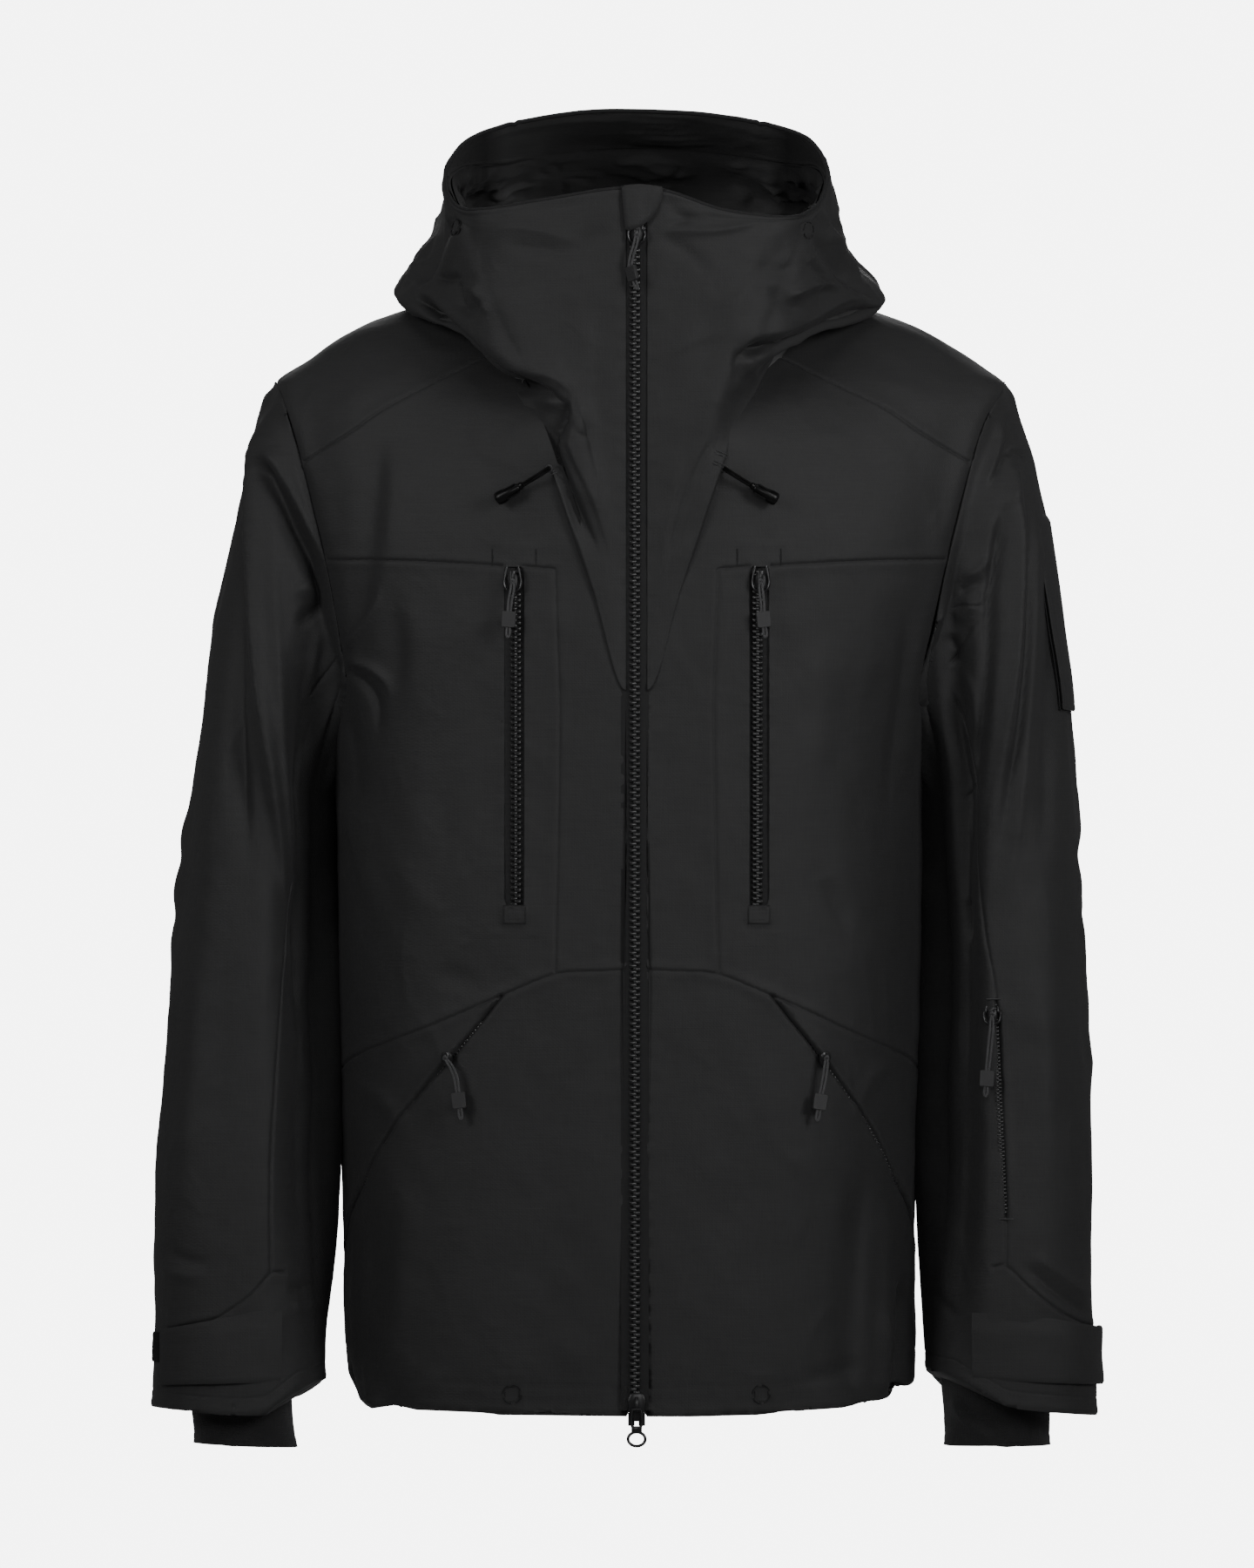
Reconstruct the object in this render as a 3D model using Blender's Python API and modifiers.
"""Ski jacket, modelled as the separate pieces it is sewn and fastened from.

World frame: metres, +Z up. The jacket hangs as worn, its front faces -Y, and the wearer's left is +X.
Lengths in this file are millimetres and are scaled by MM where geometry is made.
"""
import math

import bpy
import bmesh
import numpy as np
from mathutils import Matrix, Vector

MM = 0.001
Y_SHIFT = -3.14        # puts the middle of the jacket's depth on Y = 0
SIDES = ((1, "left"), (-1, "right"))

# ---- driving dimensions ---------------------------------------------------------------------
FABRIC = 2.4           # thickness of the laminated shell cloth, seam allowances included
LINING = 1.4
GAP = 0.35             # half of the space kept between neighbouring pieces
REACH = 400.0          # how far cutters run in Y, beyond the cloth they cut
SQUARE = 2.4           # superellipse power of the torso's cross-section
SIDE_SEAM_Y = 0.0
ZIP_HALF = 7.2         # half of the width between the two front edges
ZIP_TOP, ZIP_BOTTOM = 842.0, 34.0
ZIP_Y = -140.0         # the front closure is one straight vertical line
CHAIN = 1.8            # thickness of every zip stringer
HOOD_SEAM = 100.0      # the hood and the two collar halves meet in the planes x = +/- this
BACK_SEAM_Z = 470.0
ELBOW_Y, ELBOW_Z = -40.0, 392.0
ELBOW_FLEX = 50.0      # degrees of room cut into the sleeve at the elbow

# Torso sections: height, half width, front depth, back depth, centre of depth
TORSO = [
    (20, 190, 137, 128, 0), (60, 196, 138, 126, 0), (150, 201, 139, 122, 0),
    (250, 203, 140, 119, 0), (350, 205, 140, 122, 0), (460, 205.5, 140, 132, 0),
    (508, 207.5, 140, 138, 0), (556, 217, 140, 142, 0), (616, 231, 138, 142, 0),
    (650, 238, 132, 140, 0), (690, 247, 118, 134, 0), (720, 251, 103, 124, 2),
    (735, 249, 92, 116, 4), (747, 236, 82, 108, 5), (758, 221, 73, 101, 7),
    (771, 199, 62, 93, 9), (785, 166, 52, 85, 12), (797, 128, 44, 79, 14),
    (806, 100, 40, 75, 16),
]
# Heights of the rows of points in the torso's outer panels
PANEL_ROWS = [20, 60, 130, 210, 290, 370, 450, 508, 560, 610, 655, 695, 722, 740, 756, 771, 785,
              797, 806]

# Seam lines of the left half, as x and height. Those that reach x = 280 run out past the cloth.
HEM_FRONT = [(ZIP_HALF, 26), (100, 28), (150, 33), (182, 43), (212, 60), (280, 64)]
HEM_BACK = [(0, 30), (120, 34), (182, 46), (212, 60), (280, 64)]
WAIST_FRONT = [(ZIP_HALF, 332), (30, 331), (56, 329)]
WAIST_SIDE = [(93, 314), (140, 294), (185, 277), (220, 262), (280, 240)]
POCKET = [(93, 314), (114, 288), (140, 258), (172, 217), (193, 176), (206, 150), (280, 120)]
CHEST = [(56, 607), (104, 610), (160, 613), (213.5, 614)]
UNDERARM = [(280, 508), (218, 508)]
ARMHOLE = [(206, 513), (199.5, 530), (203, 556), (213.5, 614), (221, 645), (229, 676), (236, 700),
           (243, 722), (248, 736)]
YOKE = [(230.5, 681), (197, 701), (174, 717), (140, 735), (101, 755)]
V_SEAM = [(7, 520), (9, 528), (25, 575), (42, 622), (60, 676), (79, 730)]

# The collar and hood, as loops from the neck seam up to the face opening.
# Each loop holds x, y, z points from the front centre, round +X, to the back centre.
COWL = [
    [(7.4, -140, 524), (30, -139, 592), (60, -124, 680), (85, -97, 744), (108, -58, 787),
     (114, 12, 810), (98, 65, 801), (55, 89, 786), (0, 95, 778)],
    [(7.4, -140.5, 600), (27, -142, 655), (50, -143, 712), (73, -139, 741), (106, -114, 762),
     (170, -20, 791), (152, 62, 806), (88, 116, 812), (0, 133, 812)],
    [(7.4, -141, 700), (34, -143, 725), (62, -141, 757), (92, -129, 786), (122, -101, 806),
     (157, -16, 818), (141, 76, 832), (86, 134, 838), (0, 154, 840)],
    [(7.4, -141, 790), (45, -140, 804), (82, -131, 820), (110, -113, 834), (130, -86, 848),
     (143, -14, 858), (129, 66, 868), (76, 112, 874), (0, 126, 876)],
    [(7.4, -140.5, 836), (53, -137, 838), (94, -125, 842), (118, -106, 846), (131, -83, 858),
     (138, -36, 874), (119, 12, 889), (68, 40, 898), (0, 46, 902)],
    [(7.4, -140, 872), (60, -133, 866), (104, -118, 856), (122, -100, 852), (130, -80, 866),
     (131, -62, 889), (113, -50, 909), (60, -46, 921), (0, -45, 925)],
]

# Sleeve tube sections: height, centre x, half width, centre y, half depth
ARM = [(30, 271.5, 59, -27, 56), (80, 270, 58, -24, 58), (160, 267.5, 57, -18, 62),
       (250, 266, 56, -10, 66), (340, 262.5, 53, -2, 70), (400, 260, 50, 5, 74),
       (450, 258, 48, 9, 78)]
ARM_BOTTOM, ARM_TOP = ARM[0][0], ARM[-1][0]
ARM_AXIS_X = 262       # a line inside the sleeve, from which its cloth faces away

# ---- scene and materials --------------------------------------------------------------------
for old in list(bpy.data.objects):
    bpy.data.objects.remove(old)
jacket = bpy.data.collections.new("ski_jacket")
cutters = bpy.data.collections.new("cutters")
bpy.context.scene.collection.children.link(jacket)
bpy.context.scene.collection.children.link(cutters)


def material(name, colour, roughness, metallic=0.0):
    made = bpy.data.materials.new(name)
    made.use_nodes = True
    inputs = made.node_tree.nodes["Principled BSDF"].inputs
    inputs["Base Color"].default_value = (*colour, 1)
    inputs["Roughness"].default_value = roughness
    inputs["Metallic"].default_value = metallic
    return made


SHELL = material("shell_fabric", colour=(0.022, 0.022, 0.023), roughness=0.62)
INNER = material("lining_fabric", colour=(0.010, 0.010, 0.011), roughness=0.55)
KNIT = material("stretch_knit", colour=(0.015, 0.015, 0.016), roughness=0.85)
PLASTIC = material("zip_plastic", colour=(0.018, 0.018, 0.019), roughness=0.32)
METAL = material("black_metal", colour=(0.05, 0.05, 0.052), roughness=0.3, metallic=0.8)
CORD = material("cord", colour=(0.03, 0.03, 0.031), roughness=0.7)


# ---- curves ---------------------------------------------------------------------------------
def hermite(start, start_slope, end, end_slope, t):
    return (start * (2 * t**3 - 3 * t**2 + 1) + start_slope * (t**3 - 2 * t**2 + t)
            + end * (-2 * t**3 + 3 * t**2) + end_slope * (t**3 - t**2))


def smooth(table, at, column=1):
    """Monotone cubic through the table's rows, from its first column to another."""
    xs = [row[0] for row in table]
    ys = [row[column] for row in table]
    last = len(xs) - 1
    rates = [(ys[i + 1] - ys[i]) / (xs[i + 1] - xs[i]) for i in range(last)]
    slopes = [rates[0]]
    for before, after in zip(rates, rates[1:]):
        slopes.append(0 if before * after <= 0 else 2 * before * after / (before + after))
    slopes.append(rates[-1])
    at = min(max(at, xs[0]), xs[-1])
    i = max(0, min(last - 1, int(np.searchsorted(xs, at)) - 1))
    step = xs[i + 1] - xs[i]
    return hermite(ys[i], step * slopes[i], ys[i + 1], step * slopes[i + 1], (at - xs[i]) / step)


def spline_point(points, at):
    """A point of the Catmull-Rom curve through points, for at from 0 to their last index."""
    last = len(points) - 1
    at = min(max(at, 0.0), float(last))
    i = min(int(at), last - 1)
    t = at - i
    p0, p1, p2, p3 = (np.array(points[min(max(j, 0), last)], float)
                      for j in (i - 1, i, i + 1, i + 2))
    if i == 0:
        p0 = 2 * p1 - p2
    if i == last - 1:
        p3 = 2 * p2 - p1
    return 0.5 * (2 * p1 + (p2 - p0) * t + (2 * p0 - 5 * p1 + 4 * p2 - p3) * t**2
                  + (3 * p1 - p0 - 3 * p2 + p3) * t**3)


def last_where(test, low, high):
    """By halving, the place between low and high where test stops being true."""
    for _ in range(40):
        middle = (low + high) / 2
        if test(middle):
            low = middle
        else:
            high = middle
    return (low + high) / 2


# ---- torso surface --------------------------------------------------------------------------
def torso_section(z):
    return (smooth(TORSO, z, column) for column in (1, 2, 3, 4))


def torso(angle, z, out=0.0):
    """A point of the torso, pushed out; the angle runs from the front centre towards +X."""
    width, front, back, centre = torso_section(z)
    sine, cosine = math.sin(math.radians(angle)), math.cos(math.radians(angle))
    x = math.copysign((width + out) * abs(sine) ** (2 / SQUARE), sine)
    if cosine > 0:
        y = centre - (front + out + centre) * cosine ** (2 / SQUARE)
    else:
        y = centre + (back + out - centre) * (-cosine) ** (2 / SQUARE)
    return Vector((x, y, z))


def torso_at(x, z, out=0.0, back=False):
    """The point of the torso's front or back at a given x and height."""
    width, front, rear, centre = torso_section(z)
    across = min(1.0, abs(x) / (width + out))
    bulge = (1 - across**SQUARE) ** (1 / SQUARE)
    if back:
        return Vector((x, centre + (rear + out - centre) * bulge, z))
    return Vector((x, centre - (front + out + centre) * bulge, z))


# ---- collar and hood surface ----------------------------------------------------------------
def cowl(around, rise):
    """A point of the collar and hood.

    around runs from 0, front centre, to 8, back centre, and is negative on the -X side;
    rise runs from 0, neck seam, to 5, the opening.
    """
    p = spline_point([spline_point(loop, abs(around)) for loop in COWL], rise)
    return Vector((math.copysign(p[0], around), p[1], p[2]))


def cowl_out(around, rise, out):
    """The same point, pushed along the surface's own outward normal."""
    step = 0.02
    point = cowl(around, rise)
    side = 1 if around >= 0 else -1
    ahead = abs(around) + step
    behind = abs(around) - step if abs(around) > step else abs(around)
    along = cowl(side * ahead, rise) - cowl(side * behind, rise)
    upward = cowl(around, min(rise + step, 5)) - cowl(around, max(rise - step, 0))
    normal = along.cross(upward) * side
    if normal.length < 1e-9:
        return point
    return point + normal.normalized() * out


# ---- sleeve surface, left arm ---------------------------------------------------------------
# Angles round the sleeve: 0 outside or top, 90 front, 180 inside or under the arm, 270 back.
def arm_section(z):
    return (smooth(ARM, z, column) for column in (1, 2, 3, 4))


def arm_ring(angle, z):
    """A point round the tube of the sleeve."""
    centre_x, half_width, centre_y, half_depth = arm_section(z)
    cosine, sine = math.cos(math.radians(angle)), math.sin(math.radians(angle))
    return Vector((centre_x + half_width * math.copysign(abs(cosine) ** 0.9, cosine),
                   centre_y - half_depth * math.copysign(abs(sine) ** 0.9, sine), z))


def armhole(angle):
    """A point round the armhole."""
    middle_y = 6       # y where the front and back of the armhole meet, above and below
    top_z, height = 738, 229
    down = (angle % 360) / 180         # 0 at the top, 1 under the arm
    back = down > 1
    if back:
        down = 2 - down
    z = top_z - height * (0.5 - 0.5 * math.cos(math.pi * down)) ** 0.92
    x = smooth([(seam_z, seam_x) for seam_x, seam_z in ARMHOLE], z) if z > 513 else 206
    if down > 0.93:
        x += (down - 0.93) / 0.07 * 5
    point = torso_at(x, z, back=back)
    # ease front and back together towards the two ends
    for excess in ((down - 0.86) / 0.14, (0.12 - down) / 0.12):
        share = 1 - max(0.0, excess) ** 1.5
        point.y = point.y * share + middle_y * (1 - share)
    return point


def sleeve(angle, along, out=0.0):
    """A point of the sleeve, pushed out.

    along runs from 0, the armhole, to 1, the tube's top ring, then to 2 at its bottom.
    """
    cosine, sine = math.cos(math.radians(angle)), math.sin(math.radians(angle))
    if along <= 1:
        start = armhole(angle) + Vector((3.4, 0, 0))
        end = arm_ring(angle, ARM_TOP)
        length = (end - start).length
        # direction in which the cloth leaves the armhole, at its top, underside and edges
        leave = (Vector((0.48, 0, -0.88)) * max(cosine, 0)
                 + Vector((0.1, 0, -1)) * max(-cosine, 0)
                 + Vector((0.72, -0.30 if sine > 0 else 0.30, -0.6)) * abs(sine)).normalized()
        arrive = Vector((0.05, 0, -1))
        point = hermite(start, leave * length * 0.43, end, arrive * length * 1.13, along)
    else:
        point = arm_ring(angle, ARM_TOP - (along - 1) * (ARM_TOP - ARM_BOTTOM))
    return point + Vector((cosine, -sine, 0)) * out


def along_arm(z):
    """The sleeve's along value at a height of its tube."""
    return 1 + (ARM_TOP - z) / (ARM_TOP - ARM_BOTTOM)


def mirrored(point, side):
    return Vector((point.x * side, point.y, point.z))


# ---- making objects -------------------------------------------------------------------------
def to_world(point):
    return (Vector(point) + Vector((0, Y_SHIFT, 0))) * MM


def add(name, bm, mat):
    """An object in the jacket's collection, from a bmesh that is used up."""
    mesh = bpy.data.meshes.new(name)
    bm.to_mesh(mesh)
    bm.free()
    mesh.materials.append(mat)
    made = bpy.data.objects.new(name, mesh)
    jacket.objects.link(made)
    return made


def hide(helper):
    """Turn an object into a helper, kept only for the Booleans that use it."""
    helper.hide_render = True
    helper.display_type = "WIRE"
    jacket.objects.unlink(helper)
    cutters.objects.link(helper)
    return helper


def boolean(target, other, operation):
    modifier = target.modifiers.new(operation.lower(), "BOOLEAN")
    modifier.operation = operation
    modifier.object = other


def join(name, pieces):
    """One body from overlapping pieces, by Boolean unions on the first."""
    first = pieces[0]
    first.name = name
    for piece in pieces[1:]:
        boolean(first, hide(piece), "UNION")


def away_from(x):
    """Outward direction of cloth round the vertical line at x, y = 0."""
    return lambda c: (c.x - x, c.y, 0)


def facing(x, y):
    """One outward direction for the whole of a piece."""
    return lambda c: (x, y, 0)


def above_neck(c):
    """Outward direction of cloth round the head."""
    return (c.x, c.y, c.z - 780)


def surface(name, rows, mat, thick, outward, ring=False):
    """A lofted sheet with Solidify, whose thickness goes inwards from the given points."""
    bm = bmesh.new()
    verts = [[bm.verts.new(to_world(point)) for point in row] for row in rows]
    count = len(rows[0])
    for lower, upper in zip(verts, verts[1:]):
        for i in range(count if ring else count - 1):
            k = (i + 1) % count
            bm.faces.new((lower[i], lower[k], upper[k], upper[i]))
    bm.normal_update()
    total = 0.0
    for face in bm.faces:
        centre = face.calc_center_median() / MM - Vector((0, Y_SHIFT, 0))
        total += face.normal.dot(Vector(outward(centre))) * face.calc_area()
    if total < 0:
        bmesh.ops.reverse_faces(bm, faces=bm.faces)
    made = add(name, bm, mat)
    made.data.shade_smooth()
    solidify = made.modifiers.new("thickness", "SOLIDIFY")
    solidify.thickness = thick * MM
    solidify.offset = -1.0
    return made


def shrink(points, distance):
    """A closed outline moved inwards by a distance."""
    count = len(points)
    area = sum(points[i][0] * points[(i + 1) % count][1] - points[(i + 1) % count][0] * points[i][1]
               for i in range(count))
    if area < 0:
        points = points[::-1]
    moved = []
    for i in range(count):
        before, here, after = (Vector(points[j % count]) for j in (i - 1, i, i + 1))
        edge_in, edge_out = (here - before).normalized(), (after - here).normalized()
        normal = Vector((-edge_in.y, edge_in.x))
        mitre = normal + Vector((-edge_out.y, edge_out.x))
        mitre = mitre / max(0.35, mitre.dot(normal))
        moved.append(here + mitre * distance)
    return moved


def prism(name, outline, low, high, axis="Y", side=1, gap=GAP):
    """A cutter: a flat outline, in x and z or in y and z, drawn out along the other axis."""
    points = shrink(outline, gap)
    if axis == "Y":
        corners = [(p.x * side, low, p.y) for p in points]
        move = Vector((0, high - low, 0)) * MM
    else:
        corners = [(low, p.x, p.y) for p in points]
        move = Vector((high - low, 0, 0)) * MM
    bm = bmesh.new()
    face = bm.faces.new([bm.verts.new(to_world(corner)) for corner in corners])
    made = bmesh.ops.extrude_face_region(bm, geom=[face])
    far_verts = [part for part in made["geom"] if isinstance(part, bmesh.types.BMVert)]
    bmesh.ops.translate(bm, verts=far_verts, vec=move)
    bmesh.ops.recalc_face_normals(bm, faces=bm.faces)
    return hide(add(name, bm, SHELL))


def box(name, centre, size, mat, bevel=0.0):
    bm = bmesh.new()
    bmesh.ops.create_cube(bm, size=1.0)
    bmesh.ops.scale(bm, vec=Vector(size) * MM, verts=bm.verts)
    if bevel:
        bmesh.ops.bevel(bm, geom=bm.edges, offset=bevel * MM, segments=1, affect="EDGES")
    made = add(name, bm, mat)
    made.location = to_world(centre)
    return made


def block(name, low, high):
    """A box cutter between two opposite corners."""
    centre = [(a + b) / 2 for a, b in zip(low, high)]
    return hide(box(name, centre, [b - a for a, b in zip(low, high)], SHELL))


def rod(name, points, radius, mat, bevel_resolution):
    """A cord or wire through points: a curve with a round bevel and filled caps, made a mesh."""
    curve = bpy.data.curves.new(name + "_line", "CURVE")
    curve.dimensions = "3D"
    curve.bevel_depth = radius * MM
    curve.bevel_resolution = bevel_resolution
    curve.use_fill_caps = True
    spline = curve.splines.new("POLY")
    spline.points.add(len(points) - 1)
    for spline_vertex, point in zip(spline.points, points):
        spline_vertex.co = (*to_world(point), 1)
    line = bpy.data.objects.new(name + "_line", curve)
    jacket.objects.link(line)
    graph = bpy.context.evaluated_depsgraph_get()
    bm = bmesh.new()
    bm.from_mesh(bpy.data.meshes.new_from_object(line.evaluated_get(graph)))
    bmesh.ops.remove_doubles(bm, verts=bm.verts, dist=0.00001)
    bmesh.ops.recalc_face_normals(bm, faces=bm.faces)
    bpy.data.objects.remove(line)
    return add(name, bm, mat)


def cone(name, centre, direction, start_radius, end_radius, length, segments):
    """A plastic cone or disc whose axis lies along a direction."""
    bm = bmesh.new()
    bmesh.ops.create_cone(bm, cap_ends=True, segments=segments, radius1=start_radius * MM,
                          radius2=end_radius * MM, depth=length * MM)
    made = add(name, bm, PLASTIC)
    made.rotation_euler = direction.to_track_quat("Z", "Y").to_euler()
    made.location = to_world(centre)
    return made


# ---- torso shell panels ---------------------------------------------------------------------
def torso_sheet(name, angles, heights, mat=SHELL, thick=FABRIC, out=0.0):
    rows = [[torso(angle, z, out) for angle in angles] for z in heights]
    return surface(name, rows, mat, thick, away_from(0))


def side_panel(name, side, who, outline, back_y=SIDE_SEAM_Y - GAP, angles=(-4.0, 98.0, 12)):
    """A panel of one half; angles are first, last and count, back_y is where its cutter ends."""
    row_margin = 80    # rows this far past the outline are kept, for the cutter to trim
    top = max(z for x, z in outline) + row_margin
    bottom = min(z for x, z in outline) - row_margin
    sheet = torso_sheet(f"{who}_{name}", [side * angle for angle in np.linspace(*angles)],
                        [z for z in PANEL_ROWS if bottom < z < top])
    cutter = prism(f"cut_{who}_{name}", outline, -REACH, back_y, side=side)
    boolean(sheet, cutter, "INTERSECT")


def front_and_shoulder_panels(side, who):
    side_panel("hem_panel", side, who, HEM_FRONT + POCKET[::-1] + WAIST_FRONT[::-1])
    side_panel("pocket_gusset", side, who, POCKET + WAIST_SIDE[:0:-1])
    side_panel("torso_panel", side, who,
               WAIST_FRONT[-1:] + WAIST_SIDE + UNDERARM + ARMHOLE[:3] + CHEST[::-1])
    side_panel("chest_panel", side, who,
               WAIST_FRONT + CHEST + ARMHOLE[4:5] + YOKE + V_SEAM[::-1])
    # the yoke passes over the shoulder, so it is cut through front and back at once
    side_panel("shoulder_yoke", side, who,
               YOKE[::-1] + ARMHOLE[6:] + [(252, 760), (252, 830), (108, 830), (108, 790)],
               back_y=REACH, angles=(20.0, 160.0, 15))


def back_panel(name, heights, outline):
    sheet = torso_sheet(f"back_{name}_panel", np.linspace(82, 278, 19), heights)
    cutter = prism(f"cut_back_{name}", outline, SIDE_SEAM_Y + GAP, REACH)
    boolean(sheet, cutter, "INTERSECT")


def back_panels():
    half = [(280, BACK_SEAM_Z)] + UNDERARM + ARMHOLE[:5] + YOKE + [(107, 790), (107, 802)]
    back_panel("upper", PANEL_ROWS[5:], half + [(-x, z) for x, z in half[::-1]])
    hem = [(-x, z) for x, z in HEM_BACK[:0:-1]] + HEM_BACK
    back_panel("lower", PANEL_ROWS[:9], hem + [(280, BACK_SEAM_Z), (-280, BACK_SEAM_Z)])


# ---- collar, hood, brim and chin guard ------------------------------------------------------
HOOD_AROUND = [2.0, 2.5, 3, 3.5, 4, 4.5, 5, 5.5, 6, 6.6, 7.3]
COWL_LOW_Z, COWL_HIGH_Z = 400, 1000    # cutters of the collar and hood reach past both


def both_sides(around):
    """Stations up one side of the cowl, the back centre and down the other side."""
    return around + [8] + [-k for k in around[::-1]]


def cowl_sheet(name, around, rises, out, mat, thick, outward=above_neck):
    rows = [[cowl_out(k, rise, out) for k in around] for rise in rises]
    return surface(name, rows, mat, thick, outward)


def cowl_shell(name, around):
    """Outer cloth from neck seam to opening; its bottom edge stands out over the torso."""
    rows = [[cowl_out(k, rise, 2.6 if rise == 0 else 0.6) for k in around]
            for rise in (0, 0.5, 1, 1.5, 2, 2.5, 3, 3.5, 4, 4.5, 5)]
    return surface(name, rows, SHELL, FABRIC, above_neck)


def collar(side, who):
    around = (0.001, 0.5, 1, 1.5, 2, 2.5, 3, 3.5, 4, 4.4)
    half = cowl_shell(f"{who}_collar", [side * k for k in around])
    near, far = sorted((side * 1.0, side * (HOOD_SEAM - GAP)))
    cutter = block(f"cut_{who}_collar", (near, -REACH, COWL_LOW_Z), (far, -45, COWL_HIGH_Z))
    boolean(half, cutter, "INTERSECT")


def hood():
    """Hood shell, brim under its edge, and lining; the collar's place is cut from shell and lining."""
    front = block("cut_hood_front", (-HOOD_SEAM - GAP, -REACH, COWL_LOW_Z),
                  (HOOD_SEAM + GAP, -75, COWL_HIGH_Z))
    shell = cowl_shell("hood_shell", both_sides(HOOD_AROUND))
    boolean(shell, front, "DIFFERENCE")
    cowl_sheet("hood_brim", both_sides(HOOD_AROUND[5:]), (4.5, 4.97), -2.8, INNER, 2.0)
    inside = cowl_sheet("hood_lining", both_sides(HOOD_AROUND[3:]), (1.6, 2, 3, 3.5, 4, 4.4),
                        -10.0, INNER, LINING)
    boolean(inside, front, "DIFFERENCE")


def chin_guard():
    cowl_sheet("chin_guard", (-0.2, -0.08, 0.08, 0.2, 0.33, 0.45), (4.25, 4.6, 4.98), 4.4,
               SHELL, 1.6, away_from(0))


# ---- what hangs inside ----------------------------------------------------------------------
def body_lining():
    lining = torso_sheet("body_lining", np.linspace(8, 352, 29),
                         (70, 200, 330, 440, 500, 560, 620, 680, 722, 750, 768),
                         INNER, LINING, out=-7.0)
    for side, who in SIDES:
        low, high = sorted((side * 150, side * 400))
        hole = prism(f"cut_lining_armhole_{who}", [(-95, 505), (95, 505), (95, 800), (-95, 800)],
                     low, high, "X")
        boolean(lining, hole, "DIFFERENCE")


def snow_skirt():
    stations = ((232, -12.0), (190, -16.0), (148, -15.0), (118, -12.0))    # height, push out
    rows = [[torso(angle, z, out) for angle in np.linspace(9, 351, 25)] for z, out in stations]
    surface("snow_skirt", rows, INNER, LINING, away_from(0))


def goggle_pocket():
    torso_sheet("goggle_pocket", (30, 40, 50, 60, 68), (300, 350, 400, 450, 480), INNER, 2.0,
                out=-11.5)


def hang_loop():
    """A strap inside the back of the neck, with a foot at each end."""
    y, z = 73.0, 776.0
    strap_height = 9.0
    pieces = [box("hang_loop", (0, y, z), (64, 3.0, strap_height), INNER)]
    for x, who in ((-30, "left"), (30, "right")):
        pieces.append(box(f"loop_foot_{who}", (x, y + 2.5, z + strap_height / 2), (7, 6.0, 14),
                          INNER))
    join("hang_loop", pieces)


# ---- sleeves, cuffs, gaiters ----------------------------------------------------------------
RING_ANGLES = [i * 20.0 for i in range(18)]


def sleeve_sheet(name, side, angles, stations, thick=FABRIC, out=0.0, ring=False,
                 axis_x=ARM_AXIS_X):
    rows = [[mirrored(sleeve(angle, along, out), side) for angle in angles] for along in stations]
    return surface(name, rows, SHELL, thick, away_from(axis_x * side), ring)


def elbow_cutter(name, side, up, end_z):
    """Keeps the sleeve above (up = 1) or below (-1) the elbow, less its share of a front wedge."""
    reach = 160
    seam_z = ELBOW_Z + up * 0.6
    wedge_z = seam_z + up * reach * math.tan(math.radians(ELBOW_FLEX / 2 + 1.5))
    outline = [(ELBOW_Y, seam_z), (ELBOW_Y + reach, seam_z), (ELBOW_Y + reach, end_z),
               (ELBOW_Y - reach, end_z), (ELBOW_Y - reach, wedge_z)]
    low, high = sorted((side * 150, side * 500))
    return prism(name, outline, low, high, "X", gap=0.0)


def sleeve_halves(side, who):
    upper = sleeve_sheet(f"{who}_upper_sleeve", side, RING_ANGLES,
                         (0, 0.15, 0.35, 0.55, 0.78, 1, along_arm(385)), ring=True)
    boolean(upper, elbow_cutter(f"cut_{who}_upper_sleeve", side, 1, 900), "INTERSECT")
    heights = (415, 360, 300, 230, 150, 85, 32)
    lower = sleeve_sheet(f"{who}_lower_sleeve", side, RING_ANGLES,
                         [along_arm(z) for z in heights], ring=True)
    boolean(lower, elbow_cutter(f"cut_{who}_lower_sleeve", side, -1, -50), "INTERSECT")


def wrist_gaiter(side, who):
    """A knit tube inside the cuff, narrowing downwards and running out below the sleeve."""
    top_z, lowest_section_z = 70, 31

    def point(angle, z):
        section_z = max(z, lowest_section_z)
        rim = arm_ring(angle, section_z)
        centre_x, _, centre_y, _ = arm_section(section_z)
        share = 0.66 + 0.10 * (z / top_z)
        return mirrored(Vector((centre_x - 6 + (rim.x - centre_x) * share,
                                centre_y + (rim.y - centre_y) * share, z)), side)

    rows = [[point(angle, z) for angle in RING_ANGLES] for z in (top_z, 45, 22, 0)]
    surface(f"{who}_wrist_gaiter", rows, KNIT, 1.6, away_from(ARM_AXIS_X * side), ring=True)


def cuff_tab(side, who):
    sleeve_sheet(f"{who}_cuff_tab", side, (112, 96, 80, 64, 48, 32, 16, 0, -14),
                 [along_arm(z) for z in (83, 65, 47)], thick=2.2, out=3.6)


def left_arm_flap():
    """A flap on the outside of the left upper sleeve."""
    stations = [last_where(lambda along: sleeve(0, along).z > z, 0.0, 1.0)
                for z in (649, 615, 580, 545, 511)]
    sleeve_sheet("left_arm_flap", 1, (34, 22, 10, -2, -14, -26), stations, thick=2.2, out=3.2,
                 axis_x=240)


# ---- zip parts ------------------------------------------------------------------------------
def placer(at, yaw):
    """The rotation for a yaw in degrees, and a function from a part's frame to the jacket's."""
    turn = Matrix.Rotation(math.radians(yaw), 3, "Z")
    return turn, lambda point: Vector(at) + turn @ Vector(point)


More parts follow.
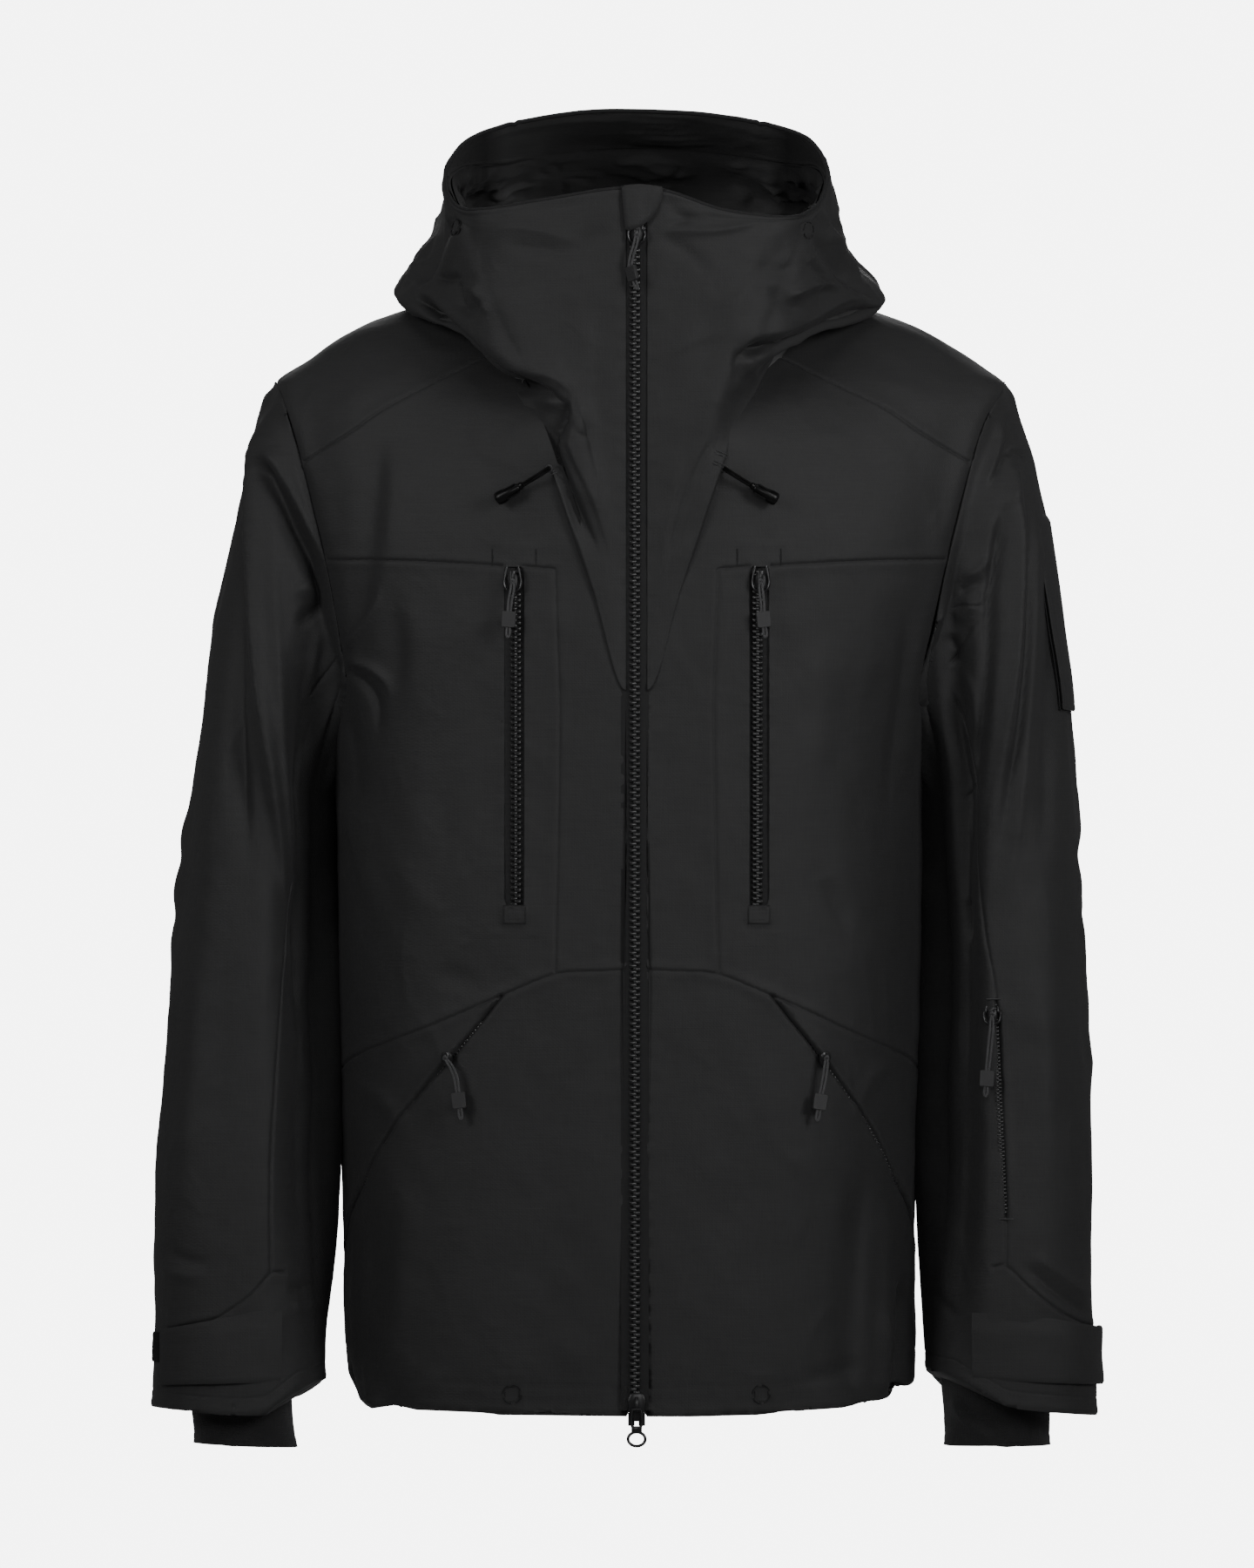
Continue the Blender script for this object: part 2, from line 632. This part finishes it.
def slider(name, at, width, height, yaw=0.0, two_sided=False):
    """A front plate with a bridge for its pull and, if two-sided, a post and a back plate."""
    turn, put = placer(at, yaw)
    parts = [
        box(name, put((0, -2.0, 0)), (width, 1.6, height), METAL, 0.4),
        box(name + "_bridge", put((0, -3.7, 1.0)), (2.4, 2.4, height * 0.55), METAL, 0.4),
    ]
    if two_sided:
        parts += [
            box(name + "_post", put((0, 0.4, 0)), (0.5, 5.0, height * 0.5), METAL),
            box(name + "_back", put((0, 2.9, 0)), (width, 1.4, height), METAL, 0.3),
        ]
    for part in parts:
        part.rotation_euler = turn.to_euler()
    join(name, parts)


def pull(name, at, length, yaw=0.0, lean=(0.0, 0.0)):
    """A cord pull: a metal stirrup, a cord, a moulded grip and the cord's end.

    It hangs from its hinge at the slider's bridge; lean is how far its end stands off in x and y.
    """
    turn, put = placer(at, yaw)
    lean_x, lean_y = lean
    hinge = [(-3.6, -1.2, 0), (3.6, -1.2, 0)]
    bend = [(-3.9, -1.6, -6), (-2, -1.8, -9), (2, -1.8, -9), (3.9, -1.6, -6)]
    cord_top = -8.4
    cord_points = [(0, -1.8, cord_top),
                   (lean_x * 0.5, -1.9 + lean_y * 0.5, cord_top - (length - 25) / 2),
                   (lean_x, -2 + lean_y, -(length - 15))]
    end_points = [(lean_x, -2 + lean_y, -(length - 8)), (lean_x, -2 + lean_y, -length)]

    def wire(part, points, radius, mat, bevel_resolution):
        return rod(f"{name}_{part}", [put(p) for p in points], radius, mat, bevel_resolution)

    stirrup = wire("stirrup", hinge[:1] + bend + hinge[1:], 0.8, METAL, 0)
    bar = wire("bar", hinge, 0.8, METAL, 0)
    cord = wire("cord", cord_points, 1.1, CORD, 1)
    grip = box(name + "_grip", put((lean_x, -2 + lean_y, -(length - 10))), (9.4, 3.4, 10.6),
               CORD, 0.5)
    grip.rotation_euler = turn.to_euler()
    end = wire("end", end_points, 1.3, CORD, 1)
    join(name, [grip, cord, stirrup, bar, end])


# ---- front closure --------------------------------------------------------------------------
def main_zip():
    inner_x, outer_x = 0.6, 6.7        # the stringers' edges either side of the centre
    for side, who in SIDES:
        box(f"main_zip_{who}_stringer",
            (side * (inner_x + outer_x) / 2, ZIP_Y + 0.4, (ZIP_TOP + ZIP_BOTTOM) / 2),
            (outer_x - inner_x, CHAIN, ZIP_TOP - ZIP_BOTTOM), PLASTIC)
    top_z = ZIP_TOP - 6
    slider("main_zip_top_slider", (0, ZIP_Y, top_z), 11.5, 15, two_sided=True)
    pull("main_zip_top_pull", (0, ZIP_Y - 4.9, top_z), 42, lean=(-1.5, 0))
    slider("main_zip_bottom_slider", (0, ZIP_Y, ZIP_BOTTOM), 11.5, 15, two_sided=True)


def main_zip_bottom_pull():
    """A plain metal tag with a ring end, on a cross pin."""
    tag_y = ZIP_Y - 5.8
    ring_radius, wire_radius = 5.8, 1.3
    ring_steps, wire_steps = 18, 6
    neck = box("bottom_pull_neck", (0, tag_y, 23.5), (3.4, 1.8, 13), METAL, 0.3)

    bm = bmesh.new()
    loops = []
    for i in range(ring_steps):
        turn = 2 * math.pi * i / ring_steps
        outward = Vector((math.sin(turn), 0, math.cos(turn)))
        loop = []
        for j in range(wire_steps):
            roll = 2 * math.pi * j / wire_steps
            point = (outward * (ring_radius + wire_radius * math.cos(roll))
                     + Vector((0, wire_radius * math.sin(roll), 0)))
            loop.append(bm.verts.new(point * MM))
        loops.append(loop)
    for i in range(ring_steps):
        here, following = loops[i], loops[(i + 1) % ring_steps]
        for j in range(wire_steps):
            k = (j + 1) % wire_steps
            bm.faces.new((here[j], here[k], following[k], following[j]))
    bmesh.ops.recalc_face_normals(bm, faces=bm.faces)
    ring = add("bottom_pull_ring", bm, METAL)
    ring.location = to_world((0, tag_y, 12.0))

    pin_y = ZIP_Y - 6.0
    pivot = rod("bottom_pull_pivot", [(-3.2, pin_y, 30), (3.2, pin_y, 30)], 0.9, METAL, 0)
    join("main_zip_bottom_pull", [neck, ring, pivot])


# ---- pocket zips ----------------------------------------------------------------------------
def chest_zip(side, who):
    zip_x, half_width = 84.0, 6.4
    rows = [[torso_at(side * (zip_x + dx), z, 0.5 + CHAIN) for dx in (-half_width, 0, half_width)]
            for z in (604, 560, 520, 480, 440, 400, 372)]
    surface(f"{who}_chest_zip_stringer", rows, PLASTIC, CHAIN, facing(0, -1))
    slider_z = 596
    at = torso_at(side * zip_x, slider_z, 1.1 + CHAIN)
    slider(f"{who}_chest_zip_slider", (at.x, at.y + 0.2, slider_z), 8.6, 12)
    pull(f"{who}_chest_zip_pull", (at.x, at.y - 4.4, slider_z + 2), 48, lean=(-1.5 * side, 0))


def hand_zip(side, who):
    """A zip that follows the curved seam of the hand pocket."""
    out = 1.4 + CHAIN
    rows = []
    for place in np.linspace(0, 2.8, 8):
        x, z = spline_point(POCKET[1:6], place)
        rows.append([torso_at(side * (x + dx), z + dz, out)
                     for dx, dz in ((-4.2, -3.4), (0, 0), (4.2, 3.4))])
    surface(f"{who}_hand_zip_stringer", rows, PLASTIC, CHAIN, facing(side * 0.6, -1))
    at = torso_at(side * 127, 271, out)
    yaw = 24 * side
    slider(f"{who}_hand_zip_slider", (at.x + side * 0.8, at.y - 1.2, at.z), 8.0, 10, yaw)
    pull(f"{who}_hand_zip_pull", (at.x + side * 2.6, at.y - 5.6, 272), 45, yaw, lean=(2.0, 0))


def on_forearm(x, z):
    """The zip's outer face on the front of the left sleeve, at an x and height."""
    along = along_arm(z)
    angle = last_where(lambda tried: sleeve(tried, along).x > x, 90.0, 175.0)
    return sleeve(angle, along, 0.5 + CHAIN)


def forearm_zip():
    """The pass pocket's zip on the left forearm; its line drifts outwards as it goes down."""
    top_x, top_z, drift = 244.2, 311, 0.0573
    rows = [[on_forearm(top_x + (top_z - z) * drift + dx, z) for dx in (-4.6, 0, 4.6)]
            for z in (308, 280, 250, 220, 190, 163)]
    surface("left_forearm_zip_stringer", rows, PLASTIC, CHAIN, facing(0, -1))
    slider_z = 300
    at = on_forearm(244.9, slider_z)
    slider("left_forearm_zip_slider", (at.x, at.y - 0.6, slider_z), 7.6, 10)
    pull("left_forearm_zip_pull", (at.x, at.y - 5.6, slider_z + 1), 56, lean=(-3.0, -3.6))


# ---- cord ends and cord locks ---------------------------------------------------------------
def hood_cord_toggle(side, who):
    """A drawcord end in front of the chest: a cord running into a cone that widens outwards."""
    start = torso_at(side * 62, 674, 13.0)
    end = torso_at(side * 92, 655, 9.0)
    direction = (end - start).normalized()
    cone_start = start + direction * 24
    cord = rod(f"{who}_toggle_cord", [start, start + direction * 14, cone_start + direction * 3],
               1.1, CORD, 1)
    toggle = cone(f"{who}_hood_cord_toggle", (cone_start + end) / 2, direction,
                  start_radius=2.0, end_radius=4.6, length=(end - cone_start).length, segments=12)
    join(f"{who}_hood_cord_toggle", [toggle, cord])


def cord_lock(name, centre, direction, radius, thick):
    cone(name, centre, direction, start_radius=radius, end_radius=radius, length=thick,
         segments=16)


def hem_cord_lock(side, who):
    cord_lock(f"{who}_hem_cord_lock", torso_at(side * 86, 42, -5.6), Vector((side * 0.12, -1, 0)),
              radius=7.2, thick=3.0)


def hood_cord_lock(side, who):
    """A disc inside the hood shell, parallel to a patch of it."""
    corners = [cowl_out(side * around, rise, 0.6)
               for around, rise in ((3.5, 3.5), (4, 3.5), (4, 4), (3.5, 4))]
    normal = (corners[2] - corners[0]).cross(corners[3] - corners[1]).normalized()
    if normal.x * side <= 0:
        normal = -normal
    centre = sum(corners, Vector()) / 4 - normal * 5.3
    cord_lock(f"{who}_hood_cord_lock", centre, normal, radius=6.0, thick=2.4)


# ---- the whole jacket -----------------------------------------------------------------------
def on_both_sides(*builders):
    for side, who in SIDES:
        for build in builders:
            build(side, who)


on_both_sides(front_and_shoulder_panels)
back_panels()
on_both_sides(collar)
hood()
chin_guard()
body_lining()
snow_skirt()
goggle_pocket()
hang_loop()
on_both_sides(sleeve_halves, wrist_gaiter, cuff_tab)
left_arm_flap()
main_zip()
main_zip_bottom_pull()
on_both_sides(chest_zip)
on_both_sides(hand_zip)
forearm_zip()
on_both_sides(hood_cord_toggle, hem_cord_lock, hood_cord_lock)
